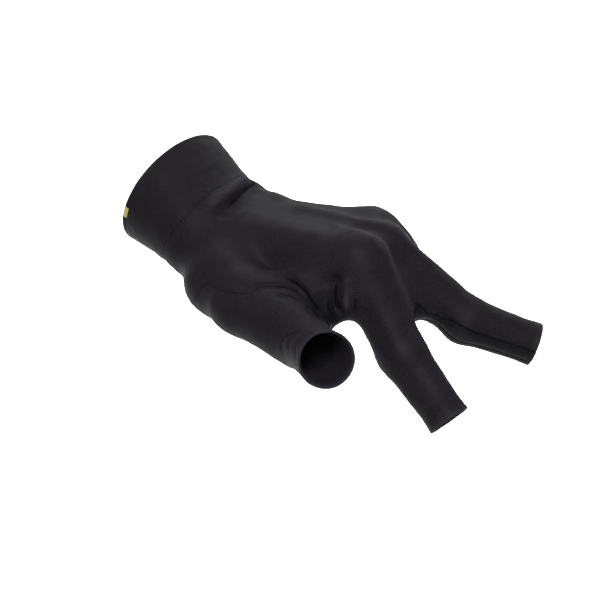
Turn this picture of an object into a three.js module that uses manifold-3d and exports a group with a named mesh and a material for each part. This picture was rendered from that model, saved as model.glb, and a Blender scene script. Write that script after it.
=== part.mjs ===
// A three-finger billiard glove for the left hand, in millimetres, +Z up.
// The origin is the middle of the wrist inside the glove. +X runs from the wrist towards the
// fingertips, the thumb is on the -Y side and the back of the hand faces up.
// The glove keeps the shape that a bridging hand gives it. Its surface is worked out from the
// bones of that hand: a smooth blend of tapered rods, dented by a short table of folds.
import * as THREE from 'three';
import Module from 'manifold-3d';

const wasm = await Module();
wasm.setup();

// Cloth
const WALL = 1.2;
const SEAM_WIDTH = 1.8;
const SEAM_RISE = 0.6;
const SEAM_GAP = 0.3;
const CUFF_WIDTH = 25;
const GUSSET_WIDTH = 8.5;
const TAB_LENGTH = 5;
const TAB_WIDTH = 2;
const TAB_THICKNESS = 0.6;

// Hand
const WRIST_WIDTH = 57;
const WRIST_DEPTH = 38;
const CUFF_END_WIDTH = 69;
const CUFF_END_DEPTH = 55;
const PALM_LENGTH = 83.4;
const KNUCKLE_DEPTH = 24;
const THUMB_BALL_LENGTH = 37;
const THUMB_LENGTH = 63;
const THUMB_WIDTH = 22.8;
const INDEX_LENGTH = 77.5;
const INDEX_WIDTH = 17.8;
const MIDDLE_LENGTH = 80;
const MIDDLE_WIDTH = 18;
const OPENING_REACH = 12;

// Directions of the bones in degrees: yaw about +Z from +X, pitch up from level
const FOREARM_YAW = 134;
const FOREARM_PITCH = 20;
const HAND_YAW = -21.5;

// Size of the facets, and the distance at which two corners become one
const FACET = 5.7;
const WELD = 0.004;

const rad = THREE.MathUtils.degToRad;
const UP = new THREE.Vector3(0, 0, 1);

function heading(yaw, pitch) {
  return new THREE.Vector3(
    Math.cos(rad(pitch)) * Math.cos(rad(yaw)),
    Math.cos(rad(pitch)) * Math.sin(rad(yaw)),
    Math.sin(rad(pitch)),
  );
}

// Bones

const WRIST = new THREE.Vector3();

function bone(from, length, yaw, pitch, startRadius, endRadius) {
  const along = heading(yaw, pitch);
  const side = UP.clone().cross(along).normalize();
  return {
    from,
    to: from.clone().addScaledVector(along, length),
    along,
    side,
    back: along.clone().cross(side),
    length,
    startRadius,
    endRadius,
  };
}

// A rod carried sideways by a share of its bone's own frame
function beside(rod, sideways, lift) {
  const shift = rod.side.clone().multiplyScalar(sideways).addScaledVector(rod.back, lift);
  return { ...rod, from: rod.from.clone().add(shift), to: rod.to.clone().add(shift) };
}

const wristRadius = WRIST_DEPTH / 2;
const cuffRadius = CUFF_END_DEPTH / 2;
const knuckleRadius = KNUCKLE_DEPTH / 2;
const forearmLength = CUFF_WIDTH + 14;

// Metacarpals: length and radius as shares of the palm's length and the knuckle's radius,
// yaw as a turn from the hand's own, and the start as a share of the wrist's half width
const PALM_ROWS = [
  { name: 'index', length: 1.0, yaw: -14, pitch: 1.2, radius: 0.98, start: -0.34 },
  { name: 'middle', length: 1.0, yaw: 0, pitch: 0.1, radius: 0.98, start: -0.1 },
  { name: 'ring', length: 0.9, yaw: 11.8, pitch: 0.3, radius: 0.92, start: 0.12 },
  { name: 'little', length: 0.785, yaw: 25, pitch: -7, radius: 0.84, start: 0.34 },
];

const palm = {};
for (const row of PALM_ROWS) {
  const end = WRIST.clone().addScaledVector(
    heading(HAND_YAW + row.yaw, row.pitch),
    PALM_LENGTH * row.length,
  );
  const start = heading(HAND_YAW + 90, 0).multiplyScalar((row.start * WRIST_WIDTH) / 2);
  const run = end.clone().sub(start);
  const flat = Math.hypot(run.x, run.y);
  palm[row.name] = bone(
    start,
    run.length(),
    THREE.MathUtils.radToDeg(Math.atan2(run.y, run.x)),
    THREE.MathUtils.radToDeg(Math.atan2(run.z, flat)),
    wristRadius * 0.7,
    knuckleRadius * row.radius,
  );
}

function finger(from, rows, length, width) {
  const rods = [];
  let at = from;
  for (const row of rows) {
    const rod = bone(at, length * row.length, row.yaw, row.pitch, (width * row.start) / 2, (width * row.end) / 2);
    rods.push(rod);
    at = rod.to;
  }
  return rods;
}

// Finger bones: length as a share of the covered length, and the widths at both ends of the
// bone as shares of the width at the hem. The last row of each runs on past the hem.
const INDEX_ROWS = [
  { length: 0.55, yaw: -53, pitch: -46.7, start: 1.3, end: 1.18 },
  { length: 0.45, yaw: -39.6, pitch: -42.3, start: 1.18, end: 1.0 },
  { length: 0.2, yaw: -39.6, pitch: -42.3, start: 1.0, end: 0.94 },
];
const MIDDLE_ROWS = [
  { length: 0.59, yaw: -21.4, pitch: -34, start: 1.22, end: 1.16 },
  { length: 0.41, yaw: -3.9, pitch: -19.5, start: 1.16, end: 1.0 },
  { length: 0.2, yaw: -3.9, pitch: -20.7, start: 1.0, end: 0.94 },
];
const THUMB_BALL_ROWS = [
  { length: 0.5, yaw: -63, pitch: -12, start: 0.96, end: 1.38 },
  { length: 0.5, yaw: -59, pitch: -8, start: 1.38, end: 1.24 },
];
const THUMB_ROWS = [
  { length: 0.56, yaw: -46, pitch: -9.5, start: 1.24, end: 1.0 },
  { length: 0.44, yaw: -66, pitch: 6, start: 1.0, end: 0.98 },
  { length: 0.12, yaw: -66, pitch: 6, start: 0.98, end: 0.96 },
];
const STUB_ROWS = {
  ring: [{ length: 1, yaw: -7.6, pitch: -23.7, start: 1, end: 0.92 }],
  little: [{ length: 1, yaw: 0.2, pitch: -16.9, start: 1, end: 0.92 }],
};

const index = finger(palm.index.to, INDEX_ROWS, INDEX_LENGTH, INDEX_WIDTH);
const middle = finger(palm.middle.to, MIDDLE_ROWS, MIDDLE_LENGTH, MIDDLE_WIDTH);
const ring = finger(palm.ring.to, STUB_ROWS.ring, OPENING_REACH * 2.5, KNUCKLE_DEPTH * 0.9);
const little = finger(palm.little.to, STUB_ROWS.little, OPENING_REACH * 2.5, KNUCKLE_DEPTH * 0.82);
const thumbBall = finger(
  heading(HAND_YAW - 68, -19).multiplyScalar(WRIST_WIDTH * 0.39),
  THUMB_BALL_ROWS,
  THUMB_BALL_LENGTH,
  THUMB_WIDTH,
);
const thumb = finger(thumbBall[1].to, THUMB_ROWS, THUMB_LENGTH, THUMB_WIDTH);

// The forearm is two rods side by side, which spread and thicken towards the end of the cuff
const forearm = bone(WRIST, forearmLength, FOREARM_YAW, FOREARM_PITCH, wristRadius, cuffRadius);
const forearmHalves = [-1, 1].map((hand) => {
  const spread = (hand * (WRIST_WIDTH - WRIST_DEPTH)) / 2;
  const rod = beside(forearm, spread, WRIST_DEPTH * 0.07);
  rod.to.addScaledVector(forearm.side, -spread * 0.4);
  return rod;
});

function between(a, shareA, b, shareB, startRadius, endRadius) {
  return {
    from: a.from.clone().lerp(a.to, shareA),
    to: b.from.clone().lerp(b.to, shareB),
    startRadius,
    endRadius,
  };
}

// Webs of cloth: two between the thumb and the index finger, one between the two fingers
const webs = [
  between(thumb[0], 0.75, index[0], 0.3, THUMB_WIDTH * 0.3, INDEX_WIDTH * 0.4),
  between(thumb[0], 0.2, palm.index, 0.95, THUMB_WIDTH * 0.33, KNUCKLE_DEPTH * 0.33),
];
const crotch = [
  between(index[0], 0.34, middle[0], 0.34, INDEX_WIDTH * 0.46, MIDDLE_WIDTH * 0.46),
  between(index[0], 0.57, middle[0], 0.57, INDEX_WIDTH * 0.37, MIDDLE_WIDTH * 0.37),
];

// Field

// Distance from a point to a rod with round ends and its own radius at each end
function rodDistance(x, y, z, rod) {
  const bx = rod.to.x - rod.from.x;
  const by = rod.to.y - rod.from.y;
  const bz = rod.to.z - rod.from.z;
  const px = x - rod.from.x;
  const py = y - rod.from.y;
  const pz = z - rod.from.z;
  const l2 = bx * bx + by * by + bz * bz;
  const taper = rod.startRadius - rod.endRadius;
  const a2 = l2 - taper * taper;
  const t = px * bx + py * by + pz * bz;
  const u = t - l2;
  const x2 = (px * l2 - bx * t) ** 2 + (py * l2 - by * t) ** 2 + (pz * l2 - bz * t) ** 2;
  const t2 = t * t * l2;
  const u2 = u * u * l2;
  const k = Math.sign(taper) * taper * taper * x2;
  if (Math.sign(u) * a2 * u2 > k) return Math.sqrt(x2 + u2) / l2 - rod.endRadius;
  if (Math.sign(t) * a2 * t2 < k) return Math.sqrt(x2 + t2) / l2 - rod.startRadius;
  return (Math.sqrt((x2 * a2) / l2) + t * taper) / l2 - rod.startRadius;
}

function blend(a, b, reach) {
  const h = Math.max(reach - Math.abs(a - b), 0) / reach;
  return Math.min(a, b) - (h * h * reach) / 4;
}

function blended(x, y, z, rods, reach) {
  let d = Infinity;
  for (const rod of rods) d = d === Infinity ? rodDistance(x, y, z, rod) : blend(d, rodDistance(x, y, z, rod), reach);
  return d;
}

// Folds: a run of points with a height above the surface, or a depth below it, and a half
// width. All are shares of the palm's length.
const FOLD_ROWS = [
  // Deep fold across the back of the wrist, and the roll of cloth beside it
  { run: [[0.105, -0.25, 0.175], [0.19, -0.13, 0.21], [0.276, 0.073, 0.2]], height: -0.03, width: 0.036 },
  { run: [[0.05, -0.2, 0.21], [0.15, -0.06, 0.24], [0.2, 0.08, 0.23]], height: 0.016, width: 0.04 },
  // Loose cloth over the far side of the wrist
  { run: [[0.29, 0.03, 0.19], [0.27, 0.14, 0.16]], height: 0.014, width: 0.032 },
  { run: [[0.39, -0.02, 0.16], [0.38, 0.1, 0.12]], height: 0.018, width: 0.045 },
  // Cloth drawn tight over the index tendon and knuckle
  { run: [[0.71, -0.4, 0.145], [0.83, -0.57, 0.185], [0.925, -0.61, 0.14]], height: 0.014, width: 0.045 },
  { run: [[0.925, -0.61, 0.14], [0.965, -0.66, 0.06], [1.0, -0.73, -0.045], [1.065, -0.78, -0.16]], height: 0.012, width: 0.042 },
  // Cloth drawn tight over the middle tendon and knuckle
  { run: [[0.52, -0.16, 0.16], [0.74, -0.26, 0.15], [0.9, -0.37, 0.16]], height: 0.013, width: 0.045 },
  { run: [[0.9, -0.37, 0.16], [1.01, -0.39, 0.13], [1.06, -0.43, 0.08], [1.14, -0.45, 0.0]], height: 0.013, width: 0.042 },
  // Folds that run from the back of the thumb into the web
  { run: [[0.42, -0.66, 0.0], [0.515, -0.735, -0.053], [0.57, -0.815, -0.078], [0.6, -0.9, -0.105]], height: -0.02, width: 0.032 },
  { run: [[0.42, -0.815, -0.05], [0.49, -0.81, -0.062], [0.545, -0.855, -0.075], [0.59, -0.94, -0.1]], height: -0.014, width: 0.026 },
  { run: [[0.3, -0.77, -0.024], [0.375, -0.75, -0.025], [0.45, -0.74, -0.037]], height: -0.012, width: 0.026 },
  // Slit-like fold where the web meets the index finger, and the soft ridge beyond it
  { run: [[0.693, -0.73, -0.01], [0.692, -0.815, -0.09], [0.706, -0.83, -0.13]], height: -0.03, width: 0.03 },
  { run: [[0.735, -0.75, -0.004], [0.73, -0.82, -0.115]], height: 0.014, width: 0.026 },
  // Hollow along the near side of the index finger
  { run: [[0.845, -0.84, -0.185], [0.935, -0.945, -0.29], [1.09, -1.06, -0.47]], height: -0.01, width: 0.05 },
];

const folds = FOLD_ROWS.map((row) => {
  const points = row.run.map((share) => new THREE.Vector3(...share).multiplyScalar(PALM_LENGTH));
  return {
    parts: points.slice(1).map((to, i) => ({ from: points[i], to, startRadius: 0, endRadius: 0 })),
    height: row.height * PALM_LENGTH,
    width: row.width * PALM_LENGTH,
  };
});

function foldHeight(x, y, z) {
  let height = 0;
  for (const fold of folds) {
    const away = Math.min(...fold.parts.map((part) => rodDistance(x, y, z, part)));
    height += fold.height * Math.exp(-((away / fold.width) ** 2));
  }
  return height;
}

// The covered hand without its ring and little fingers
function bareField(x, y, z) {
  let d = blended(x, y, z, Object.values(palm), 9);
  d = blend(d, blended(x, y, z, forearmHalves, 14), 10);
  d = blend(d, blended(x, y, z, [...thumbBall, ...thumb], 4), 11);
  d = blend(d, blended(x, y, z, webs, 8), 10);
  d = blend(d, blended(x, y, z, index, 3), 7);
  d = blend(d, blended(x, y, z, middle, 3), 7);
  d = blend(d, blended(x, y, z, crotch, 4), 5);
  return Math.abs(d) < 4 * WALL ? d - foldHeight(x, y, z) : d;
}

function handField(x, y, z) {
  return blend(bareField(x, y, z), blended(x, y, z, [...ring, ...little], 12), 7);
}

function slope(field, x, y, z) {
  const h = 0.05;
  return new THREE.Vector3(
    field(x + h, y, z) - field(x - h, y, z),
    field(x, y + h, z) - field(x, y - h, z),
    field(x, y, z + h) - field(x, y, z - h),
  ).divideScalar(2 * h);
}

// Surface

// Grid positions along one axis: one spacing below a level and another above it
function ticks(from, to, level, below, above) {
  const list = [from];
  while (list.at(-1) < to) list.push(list.at(-1) + (list.at(-1) < level ? below : above));
  return list;
}

// Faceted zero surface of a field: one point in each grid cell that the surface crosses,
// and a face across each cell edge that it crosses
function surface(field, xs, ys, zs) {
  const nx = xs.length;
  const ny = ys.length;
  const nz = zs.length;
  const at = (i, j, k) => i + nx * (j + ny * k);
  const value = new Float64Array(nx * ny * nz);
  for (let k = 0; k < nz; k++) {
    for (let j = 0; j < ny; j++) {
      for (let i = 0; i < nx; i++) value[at(i, j, k)] = field(xs[i], ys[j], zs[k]);
    }
  }
  const step = [1, nx, nx * ny];
  const corners = [0, 1, nx, nx + 1, nx * ny, nx * ny + 1, nx * ny + nx, nx * ny + nx + 1];
  const edges = [];
  for (let a = 0; a < 8; a++) {
    for (const bit of [1, 2, 4]) if (!(a & bit)) edges.push([a, a | bit]);
  }
  const points = [];
  const pointOf = new Int32Array(nx * ny * nz).fill(-1);
  for (let k = 0; k < nz - 1; k++) {
    for (let j = 0; j < ny - 1; j++) {
      for (let i = 0; i < nx - 1; i++) {
        const v = corners.map((c) => value[at(i, j, k) + c]);
        const sum = new THREE.Vector3();
        let count = 0;
        for (const [a, b] of edges) {
          if (v[a] < 0 === v[b] < 0) continue;
          const t = v[a] / (v[a] - v[b]);
          const mix = (bit) => (a & bit ? 1 : b & bit ? t : 0);
          sum.add(new THREE.Vector3(mix(1), mix(2), mix(4)));
          count++;
        }
        if (!count) continue;
        sum.divideScalar(count);
        pointOf[at(i, j, k)] = points.length;
        points.push(
          new THREE.Vector3(
            THREE.MathUtils.lerp(xs[i], xs[i + 1], sum.x),
            THREE.MathUtils.lerp(ys[j], ys[j + 1], sum.y),
            THREE.MathUtils.lerp(zs[k], zs[k + 1], sum.z),
          ),
        );
      }
    }
  }
  const faces = [];
  for (let k = 1; k < nz - 1; k++) {
    for (let j = 1; j < ny - 1; j++) {
      for (let i = 1; i < nx - 1; i++) {
        const here = at(i, j, k);
        for (let axis = 0; axis < 3; axis++) {
          const inside = value[here] < 0;
          if (inside === value[here + step[axis]] < 0) continue;
          const u = step[(axis + 1) % 3];
          const v = step[(axis + 2) % 3];
          const quad = [here - u - v, here - v, here, here - u].map((c) => pointOf[c]);
          if (!inside) quad.reverse();
          faces.push(quad);
        }
      }
    }
  }
  return { points, faces };
}

// The points are drawn onto the field's zero surface and given its normals
function settle(mesh, field) {
  const normals = mesh.points.map((p) => {
    for (let pass = 0; pass < 3; pass++) {
      const g = slope(field, p.x, p.y, p.z);
      p.addScaledVector(g, -field(p.x, p.y, p.z) / g.lengthSq());
    }
    return slope(field, p.x, p.y, p.z).normalize();
  });
  return { ...mesh, normals };
}

function solid(points, triangles) {
  return new wasm.Manifold(
    new wasm.Mesh({
      numProp: 3,
      vertProperties: Float32Array.from(points.flatMap((p) => [p.x, p.y, p.z])),
      triVerts: Uint32Array.from(triangles.flat()),
    }),
  );
}

// A solid bounded by the surface moved out by a distance
function grown(mesh, distance) {
  const points = mesh.points.map((p, i) => p.clone().addScaledVector(mesh.normals[i], distance));
  const triangles = mesh.faces.flatMap(([a, b, c, d]) =>
    points[a].distanceTo(points[c]) < points[b].distanceTo(points[d])
      ? [[a, b, c], [a, c, d]]
      : [[a, b, d], [b, c, d]],
  );
  return solid(points, triangles);
}

const rods = [...Object.values(palm), ...forearmHalves, ...thumbBall, ...thumb, ...index, ...middle, ...ring, ...little];
const box = new THREE.Box3().setFromPoints(rods.flatMap((rod) => [rod.from, rod.to]));
box.expandByScalar(cuffRadius + 2 * FACET);
const grid = [
  ticks(box.min.x, box.max.x, PALM_LENGTH * 0.18, FACET * 1.2, FACET),
  ticks(box.min.y, box.max.y, -PALM_LENGTH * 0.43, FACET, FACET * 1.3),
  ticks(box.min.z, box.max.z, -PALM_LENGTH * 0.12, FACET, FACET * 1.15),
];
const skin = settle(surface(handField, ...grid), handField);
const bareSkin = settle(surface(bareField, ...grid), bareField);

// Cutting blocks

// A six-sided solid from its eight corners: four of one end in turn, then four of the other.
// Its first and third long sides are split along the same diagonal, so a twisted leaf stays whole.
function block(corners) {
  return solid(corners, [
    [0, 2, 1],
    [0, 3, 2],
    [4, 5, 6],
    [4, 6, 7],
    [0, 1, 5],
    [0, 5, 4],
    [1, 2, 6],
    [1, 6, 5],
    [2, 3, 6],
    [3, 7, 6],
    [3, 0, 4],
    [3, 4, 7],
  ]);
}

// A box on three axes at right angles, with half widths along the first two and its ends
// along the third
function brick(point, [u, v, w], [halfU, halfV], [start, end]) {
  const corners = [];
  for (const c of [start, end]) {
    for (const [a, b] of [[-1, -1], [1, -1], [1, 1], [-1, 1]]) {
      corners.push(
        point.clone().addScaledVector(u, a * halfU).addScaledVector(v, b * halfV).addScaledVector(w, c),
      );
    }
  }
  return block(corners);
}

const FAR = 2 * (CUFF_WIDTH + PALM_LENGTH + INDEX_LENGTH);

// Everything past a plane from a start, out to a distance and a half width
function past(point, normal, start = 0, reach = FAR, half = FAR) {
  const u = UP.clone().cross(normal).normalize();
  return brick(point, [u, normal.clone().cross(u), normal], [half, half], [start, start + reach]);
}

// Planes that the pieces are cut by
const cuffEnd = forearmHalves[0].from.clone().add(forearmHalves[1].from).multiplyScalar(0.5);
cuffEnd.addScaledVector(forearm.along, CUFF_WIDTH);
const cuffEndNormal = heading(FOREARM_YAW + 6, FOREARM_PITCH);
const cuffSeamPoint = new THREE.Vector3(0.026, 0.026, 0.053).multiplyScalar(WRIST_DEPTH);
const cuffSeamNormal = heading(FOREARM_YAW + 12, FOREARM_PITCH + 8);
const besideThumb = (joint, ...shares) => joint.clone().addScaledVector(new THREE.Vector3(...shares), THUMB_WIDTH);
const thumbSeamPoint = besideThumb(thumb[0].from, 0.27, 0.21, -0.28);
const thumbSeamNormal = new THREE.Vector3(-0.06, -0.78, -0.61).normalize();
const webSeamPoint = besideThumb(thumb[0].to, 0.51, 0.11, 0.21);
const webSeamNormal = new THREE.Vector3(-0.81, -0.5, -0.3).normalize();
const rimPoint = palm.ring.to.clone().addScaledVector(heading(HAND_YAW + 61.5, 0), OPENING_REACH * 0.7);
const rimNormal = heading(HAND_YAW + 61.5, 0);
const thumbHemNormal = heading(-74, 16);

// Share of the first finger bones where the gusset's curtain starts, inside the hollow
const GUSSET_START = 0.5;

// The curtain between the index and middle fingers that the gusset follows, from one height
// above the bones to another
function curtain(low, high) {
  const rows = [
    [
      index[0].from.clone().lerp(index[0].to, GUSSET_START),
      index[0].back,
      middle[0].from.clone().lerp(middle[0].to, GUSSET_START),
      middle[0].back,
    ],
    [index[0].to, index[0].back.clone().lerp(index[1].back, 0.5), middle[0].to, middle[0].back.clone().lerp(middle[1].back, 0.5)],
    [index[2].to, index[2].back, middle[2].to, middle[2].back],
  ];
  const corners = rows.map(([a, backA, b, backB]) => [
    a.clone().addScaledVector(backA, low),
    b.clone().addScaledVector(backB, low),
    b.clone().addScaledVector(backB, high),
    a.clone().addScaledVector(backA, high),
  ]);
  return block([...corners[0], ...corners[1]]).add(block([...corners[1], ...corners[2]]));
}

const gussetMiddle = -GUSSET_WIDTH * 0.04;
const gussetTop = gussetMiddle + GUSSET_WIDTH / 2;
const gussetBottom = gussetMiddle - GUSSET_WIDTH / 2;

// A flat leaf from the middle finger's bones out to its ring-finger side
function leaf(half) {
  const tilt = 20;
  const out = (rod) =>
    rod.side.clone().multiplyScalar(Math.cos(rad(tilt))).addScaledVector(rod.back, Math.sin(rad(tilt)));
  const rows = [
    [middle[0].from, out(middle[0])],
    [middle[0].to, out(middle[0]).lerp(out(middle[1]), 0.5).normalize()],
    [middle[2].to, out(middle[1])],
  ];
  const corners = rows.map(([at, way], i) => {
    const up = way.clone().cross(middle[Math.min(i, 1)].along).multiplyScalar(-half);
    const far = at.clone().addScaledVector(way, MIDDLE_WIDTH * 1.2);
    return [at.clone().sub(up), far.clone().sub(up), far.clone().add(up), at.clone().add(up)];
  });
  return block([...corners[0], ...corners[1]]).add(block([...corners[1], ...corners[2]]));
}

// A short bar of stitches beside the end of the cuff, on the thumb side
const tabOut = forearm.side;
const tabAround = forearm.along.clone().cross(tabOut);
const tabBlock = brick(
  cuffEnd.clone().addScaledVector(forearm.along, -CUFF_WIDTH * 0.19),
  [tabAround, forearm.along, tabOut],
  [TAB_LENGTH / 2, TAB_WIDTH / 2],
  [WRIST_WIDTH * 0.4, WRIST_WIDTH * 0.8],
);

const cuffRegion = (grow) => past(cuffSeamPoint, cuffSeamNormal, -grow);
const thumbRegion = (grow) =>
  past(thumbSeamPoint, thumbSeamNormal, -grow).intersect(past(webSeamPoint, webSeamNormal, -grow));
const gussetRegion = (grow) => curtain(gussetBottom - grow, gussetTop + grow);
const pastRim = past(rimPoint, rimNormal);

const openings = [
  past(cuffEnd, cuffEndNormal, 0, CUFF_END_WIDTH, CUFF_END_WIDTH * 1.2),
  past(thumb[1].to, thumbHemNormal, 0, THUMB_WIDTH * 1.3, THUMB_WIDTH),
  past(index[1].to, index[1].along, 0, INDEX_LENGTH * 0.5, INDEX_WIDTH * 0.9),
  past(middle[1].to, middle[1].along, 0, MIDDLE_LENGTH * 0.5, MIDDLE_WIDTH * 0.9),
];

// Cloth between two depths of the surface, open where the arm, thumb and fingers go through
function cloth(outside, inside) {
  const whole = grown(skin, outside).subtract(grown(skin, inside));
  const bare = grown(bareSkin, outside).subtract(grown(bareSkin, inside));
  let made = whole.subtract(pastRim).add(bare.intersect(pastRim));
  for (const opening of openings) made = made.subtract(opening);
  return made;
}

const sheet = cloth(0, -WALL);
const raised = cloth(SEAM_RISE, -WALL);
const seamHalf = SEAM_WIDTH / 2;
const clear = seamHalf + SEAM_GAP;

const cuff = sheet.intersect(cuffRegion(-clear));
const thumbSheath = sheet.intersect(thumbRegion(-clear));
const fingerGusset = sheet.intersect(gussetRegion(-clear));
const handShell = sheet
  .subtract(cuffRegion(clear))
  .subtract(thumbRegion(clear))
  .subtract(gussetRegion(clear))
  .subtract(leaf(clear).intersect(pastRim));

const cuffSeam = raised.intersect(cuffRegion(seamHalf)).subtract(cuffRegion(-seamHalf));
const thumbSeam = raised.intersect(thumbRegion(seamHalf)).subtract(thumbRegion(-seamHalf));
const gussetBackSeam = raised.intersect(curtain(gussetTop - seamHalf, gussetTop + seamHalf));
const gussetPalmSeam = raised.intersect(curtain(gussetBottom - seamHalf, gussetBottom + seamHalf));
const middleSideSeam = raised.intersect(leaf(seamHalf)).intersect(pastRim);
const wristTab = grown(skin, SEAM_GAP + TAB_THICKNESS)
  .subtract(grown(skin, SEAM_GAP))
  .intersect(tabBlock)
  .intersect(cuffRegion(-clear))
  .subtract(openings[0]);

// Scene

// The largest closed body of a cut solid, without the crumbs that the cuts leave: corners
// closer than the weld become one, and flattened faces go
function largest(made) {
  const out = made.getMesh();
  const keys = new Map();
  const points = [];
  const welded = [];
  for (let i = 0; i < out.vertProperties.length; i += 3) {
    const p = Array.from(out.vertProperties.slice(i, i + 3));
    const key = p.map((c) => Math.round(c / WELD)).join();
    if (!keys.has(key)) {
      keys.set(key, points.length);
      points.push(new THREE.Vector3(...p));
    }
    welded.push(keys.get(key));
  }
  const faces = [];
  for (let i = 0; i < out.triVerts.length; i += 3) {
    const face = Array.from(out.triVerts.slice(i, i + 3)).map((v) => welded[v]);
    if (new Set(face).size === 3) faces.push(face);
  }
  const root = faces.map((_, i) => i);
  const find = (i) => {
    while (root[i] !== i) i = root[i] = root[root[i]];
    return i;
  };
  const byEdge = new Map();
  faces.forEach((face, i) => {
    for (let k = 0; k < 3; k++) {
      const edge = [face[k], face[(k + 1) % 3]].sort((m, n) => m - n).join();
      if (byEdge.has(edge)) root[find(i)] = find(byEdge.get(edge));
      byEdge.set(edge, i);
    }
  });
  const volume = new Map();
  faces.forEach(([a, b, c], i) => {
    const share = points[a].dot(points[b].clone().cross(points[c])) / 6;
    volume.set(find(i), (volume.get(find(i)) ?? 0) + share);
  });
  const best = [...volume].sort((m, n) => n[1] - m[1])[0][0];
  const geometry = new THREE.BufferGeometry();
  geometry.setAttribute('position', new THREE.BufferAttribute(Float32Array.from(points.flatMap((p) => p.toArray())), 3));
  geometry.setIndex(faces.filter((_, i) => find(i) === best).flat());
  return geometry;
}

function meshOf(made, name, color) {
  const geometry = largest(made);
  geometry.computeVertexNormals();
  const mesh = new THREE.Mesh(geometry, new THREE.MeshStandardMaterial({ color, roughness: 0.85, metalness: 0 }));
  mesh.name = name;
  return mesh;
}

const CLOTH_COLOR = 0x26262a;
const THREAD_COLOR = 0x19191c;
const TAB_COLOR = 0xc9b23a;

const glove = new THREE.Group();
glove.name = 'glove';
glove.add(meshOf(cuff, 'cuff', CLOTH_COLOR));
glove.add(meshOf(cuffSeam, 'cuff_seam', THREAD_COLOR));
glove.add(meshOf(handShell, 'hand_shell', CLOTH_COLOR));
glove.add(meshOf(thumbSheath, 'thumb_sheath', CLOTH_COLOR));
glove.add(meshOf(thumbSeam, 'thumb_seam', THREAD_COLOR));
glove.add(meshOf(fingerGusset, 'finger_gusset', CLOTH_COLOR));
glove.add(meshOf(gussetBackSeam, 'gusset_back_seam', THREAD_COLOR));
glove.add(meshOf(gussetPalmSeam, 'gusset_palm_seam', THREAD_COLOR));
glove.add(meshOf(middleSideSeam, 'middle_side_seam', THREAD_COLOR));
glove.add(meshOf(wristTab, 'wrist_tab', TAB_COLOR));
export default glove;
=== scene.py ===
import itertools
import math

import bpy
import numpy as np
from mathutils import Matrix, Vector
from mathutils.kdtree import KDTree


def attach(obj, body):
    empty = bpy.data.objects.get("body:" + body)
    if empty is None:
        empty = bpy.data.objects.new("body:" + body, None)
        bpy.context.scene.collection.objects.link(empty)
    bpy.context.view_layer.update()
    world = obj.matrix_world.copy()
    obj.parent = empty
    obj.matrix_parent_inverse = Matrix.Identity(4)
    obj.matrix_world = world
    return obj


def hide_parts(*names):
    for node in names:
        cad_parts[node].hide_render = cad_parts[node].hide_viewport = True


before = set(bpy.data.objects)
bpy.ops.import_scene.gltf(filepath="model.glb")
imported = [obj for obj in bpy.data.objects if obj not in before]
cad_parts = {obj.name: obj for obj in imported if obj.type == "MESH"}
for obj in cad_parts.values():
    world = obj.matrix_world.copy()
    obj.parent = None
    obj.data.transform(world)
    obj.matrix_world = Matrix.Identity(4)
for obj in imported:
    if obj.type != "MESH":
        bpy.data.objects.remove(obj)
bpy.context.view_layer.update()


def add_object(name, data):
    made = bpy.data.objects.new(name, data)
    bpy.context.scene.collection.objects.link(made)
    return made


# Camera at the photograph's angle: a long lens about 0.9 m away
CAMERA_PLACE = (0.0423, -0.8301, 0.3494)
CAMERA_TILT = 25
camera_data = bpy.data.cameras.new("camera")
camera_data.sensor_width = 36
camera_data.lens = 120
camera_data.clip_end = 100
camera = add_object("camera", camera_data)
camera.location = CAMERA_PLACE
camera.rotation_euler = (math.radians(90 - CAMERA_TILT), 0, 0)
bpy.context.scene.camera = camera

# Sizes of the cloth in millimetres
WALL = 1.2
CUFF_WIDTH = 25
GUSSET_WIDTH = 8.5
TAB_LENGTH = 5
TAB_WIDTH = 2

# Sizes of the hand in millimetres
WRIST_WIDTH = 57
WRIST_DEPTH = 38
CUFF_END_DEPTH = 55
PALM_LENGTH = 83.4
KNUCKLE_DEPTH = 24
THUMB_BALL_LENGTH = 37
THUMB_LENGTH = 63
THUMB_WIDTH = 22.8
INDEX_LENGTH = 77.5
INDEX_WIDTH = 17.8
MIDDLE_LENGTH = 80
MIDDLE_WIDTH = 18
OPENING_REACH = 12
FOREARM_YAW = 134
FOREARM_PITCH = 20
HAND_YAW = -21.5

# Mesh that the cloth is made of: its spacing, how many cells a coarse first look takes at a
# time, and the corners of the space that it looks through
CELL = 1.0
COARSE = 5
SPACE_LOW = np.array([-48.0, -116.0, -68.0])
SPACE_HIGH = np.array([158.0, 52.0, 46.0])

# A distance that counts as far from every surface and line
FAR = 9.0

UP = np.array([0.0, 0.0, 1.0])


def heading(yaw, pitch):
    yaw, pitch = math.radians(yaw), math.radians(pitch)
    return np.array([math.cos(pitch) * math.cos(yaw), math.cos(pitch) * math.sin(yaw), math.sin(pitch)])


def unit(v):
    v = np.asarray(v, float)
    return v / np.maximum(np.linalg.norm(v, axis=-1, keepdims=True), 1e-12)


def bell(away, width):
    """One in the middle, and less away from it."""
    return np.exp(-((away / width) ** 2))


def smooth_step(t):
    return t * t * (3 - 2 * t)


# Bones

class Rod:
    """A tapered rod with round ends, and the frame of the bone it stands for."""

    def __init__(self, start, end, start_radius, end_radius):
        self.start = np.array(start, float)
        self.end = np.array(end, float)
        self.radii = (start_radius, end_radius)
        self.length = float(np.linalg.norm(self.end - self.start))
        self.along = unit(self.end - self.start)
        side = np.cross(UP, self.along)
        self.side = unit(side) if np.linalg.norm(side) > 1e-6 else np.array([1.0, 0.0, 0.0])
        self.back = np.cross(self.along, self.side)

    def at(self, share):
        return self.start + (self.end - self.start) * share


def bone(start, length, yaw, pitch, start_radius, end_radius):
    return Rod(start, start + heading(yaw, pitch) * length, start_radius, end_radius)


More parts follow.
